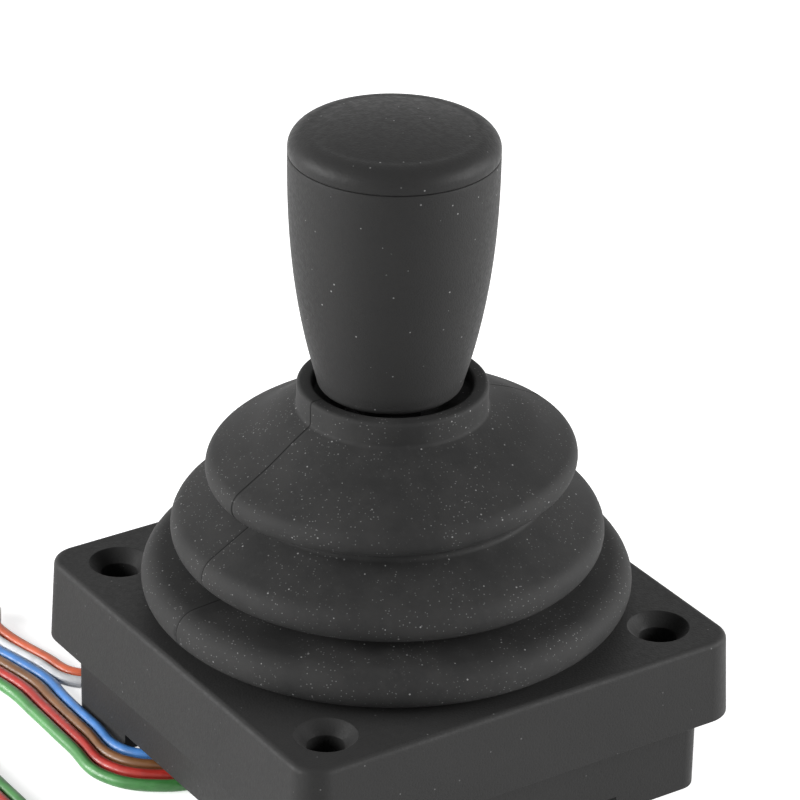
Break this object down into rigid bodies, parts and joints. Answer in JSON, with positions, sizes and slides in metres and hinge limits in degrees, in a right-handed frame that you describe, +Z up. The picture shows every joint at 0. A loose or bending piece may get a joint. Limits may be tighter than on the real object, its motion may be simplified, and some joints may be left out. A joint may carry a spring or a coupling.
{
  "type": "industrial joystick",
  "caption": "Two-axis spring-return fingertip joystick with a barrel knob, a ribbed rubber boot, a square countersunk flange and flying leads.",
  "frame": {"origin": "centre of the square base face that the housing stands on", "axes": "+Z up along the lever at rest, +X and +Y square to the flange sides, +X along the hinge pins of the gimbal ring"},
  "size_m": [0.1009, 0.0849, 0.0826],
  "materials": {
    "black_plastic": "moulded matt, fine grain",
    "boot_rubber": "matt moulded rubber",
    "seal_rubber": "matt",
    "inner_plastic": "glass-filled, satin",
    "steel": "satin",
    "brass": "turned",
    "board": "solder mask",
    "chip": "moulded",
    "magnet": "nickel plated",
    "lead_orange": "extruded insulation",
    "lead_white": "extruded insulation",
    "lead_blue": "extruded insulation",
    "lead_brown": "extruded insulation",
    "lead_red": "extruded insulation",
    "lead_green": "extruded insulation",
    "tie_nylon": "natural nylon"
  },
  "bodies": {
    "base": {"flange_housing": "black_plastic", "lower_housing": "black_plastic", "base_cover": "black_plastic", "housing_gasket": "seal_rubber", "gimbal_carrier": "inner_plastic", "gate_plate": "steel", "bearing_bushes": "brass", "boot": "boot_rubber", "boot_clamp_ring": "steel", "return_spring": "steel", "sensor_board": "board", "hall_sensor": "chip", "board_parts": "chip", "lead_grommet": "seal_rubber", "lead_tails": "steel", "housing_screws": "steel", "cover_screws": "steel", "board_screws": "steel", "carrier_screws": "steel", "gate_screws": "steel", "clamp_screws": "steel", "lead_orange": "lead_orange", "lead_white": "lead_white", "lead_blue": "lead_blue", "lead_brown": "lead_brown", "lead_red": "lead_red", "lead_green": "lead_green", "lead_ties": "tie_nylon"},
    "gimbal": {"gimbal_ring": "inner_plastic", "ring_pins": "steel", "ring_bushes": "brass"},
    "lever": {"lever_hub": "inner_plastic", "cross_pin": "steel", "lever_shaft": "steel", "lever_sleeve": "inner_plastic", "spring_collar": "inner_plastic", "retaining_clip": "steel", "neck_nut": "brass", "magnet_holder": "inner_plastic", "magnet": "magnet", "knob_insert": "brass", "knob_body": "black_plastic", "knob_cap": "black_plastic"}
  },
  "joints": [
    {"name": "tilt_x", "type": "hinge", "parent": "base", "child": "gimbal", "pos_m": [0, 0, 0.017], "axis": [1, 0, 0], "range_deg": [-18, 18], "stiffness_Nm_per_rad": 0.3, "deforming": ["boot", "return_spring"]},
    {"name": "tilt_y", "type": "hinge", "parent": "gimbal", "child": "lever", "pos_m": [0, 0, 0.017], "axis": [0, 1, 0], "range_deg": [-18, 18], "stiffness_Nm_per_rad": 0.3, "deforming": ["boot", "return_spring"]}
  ]
}
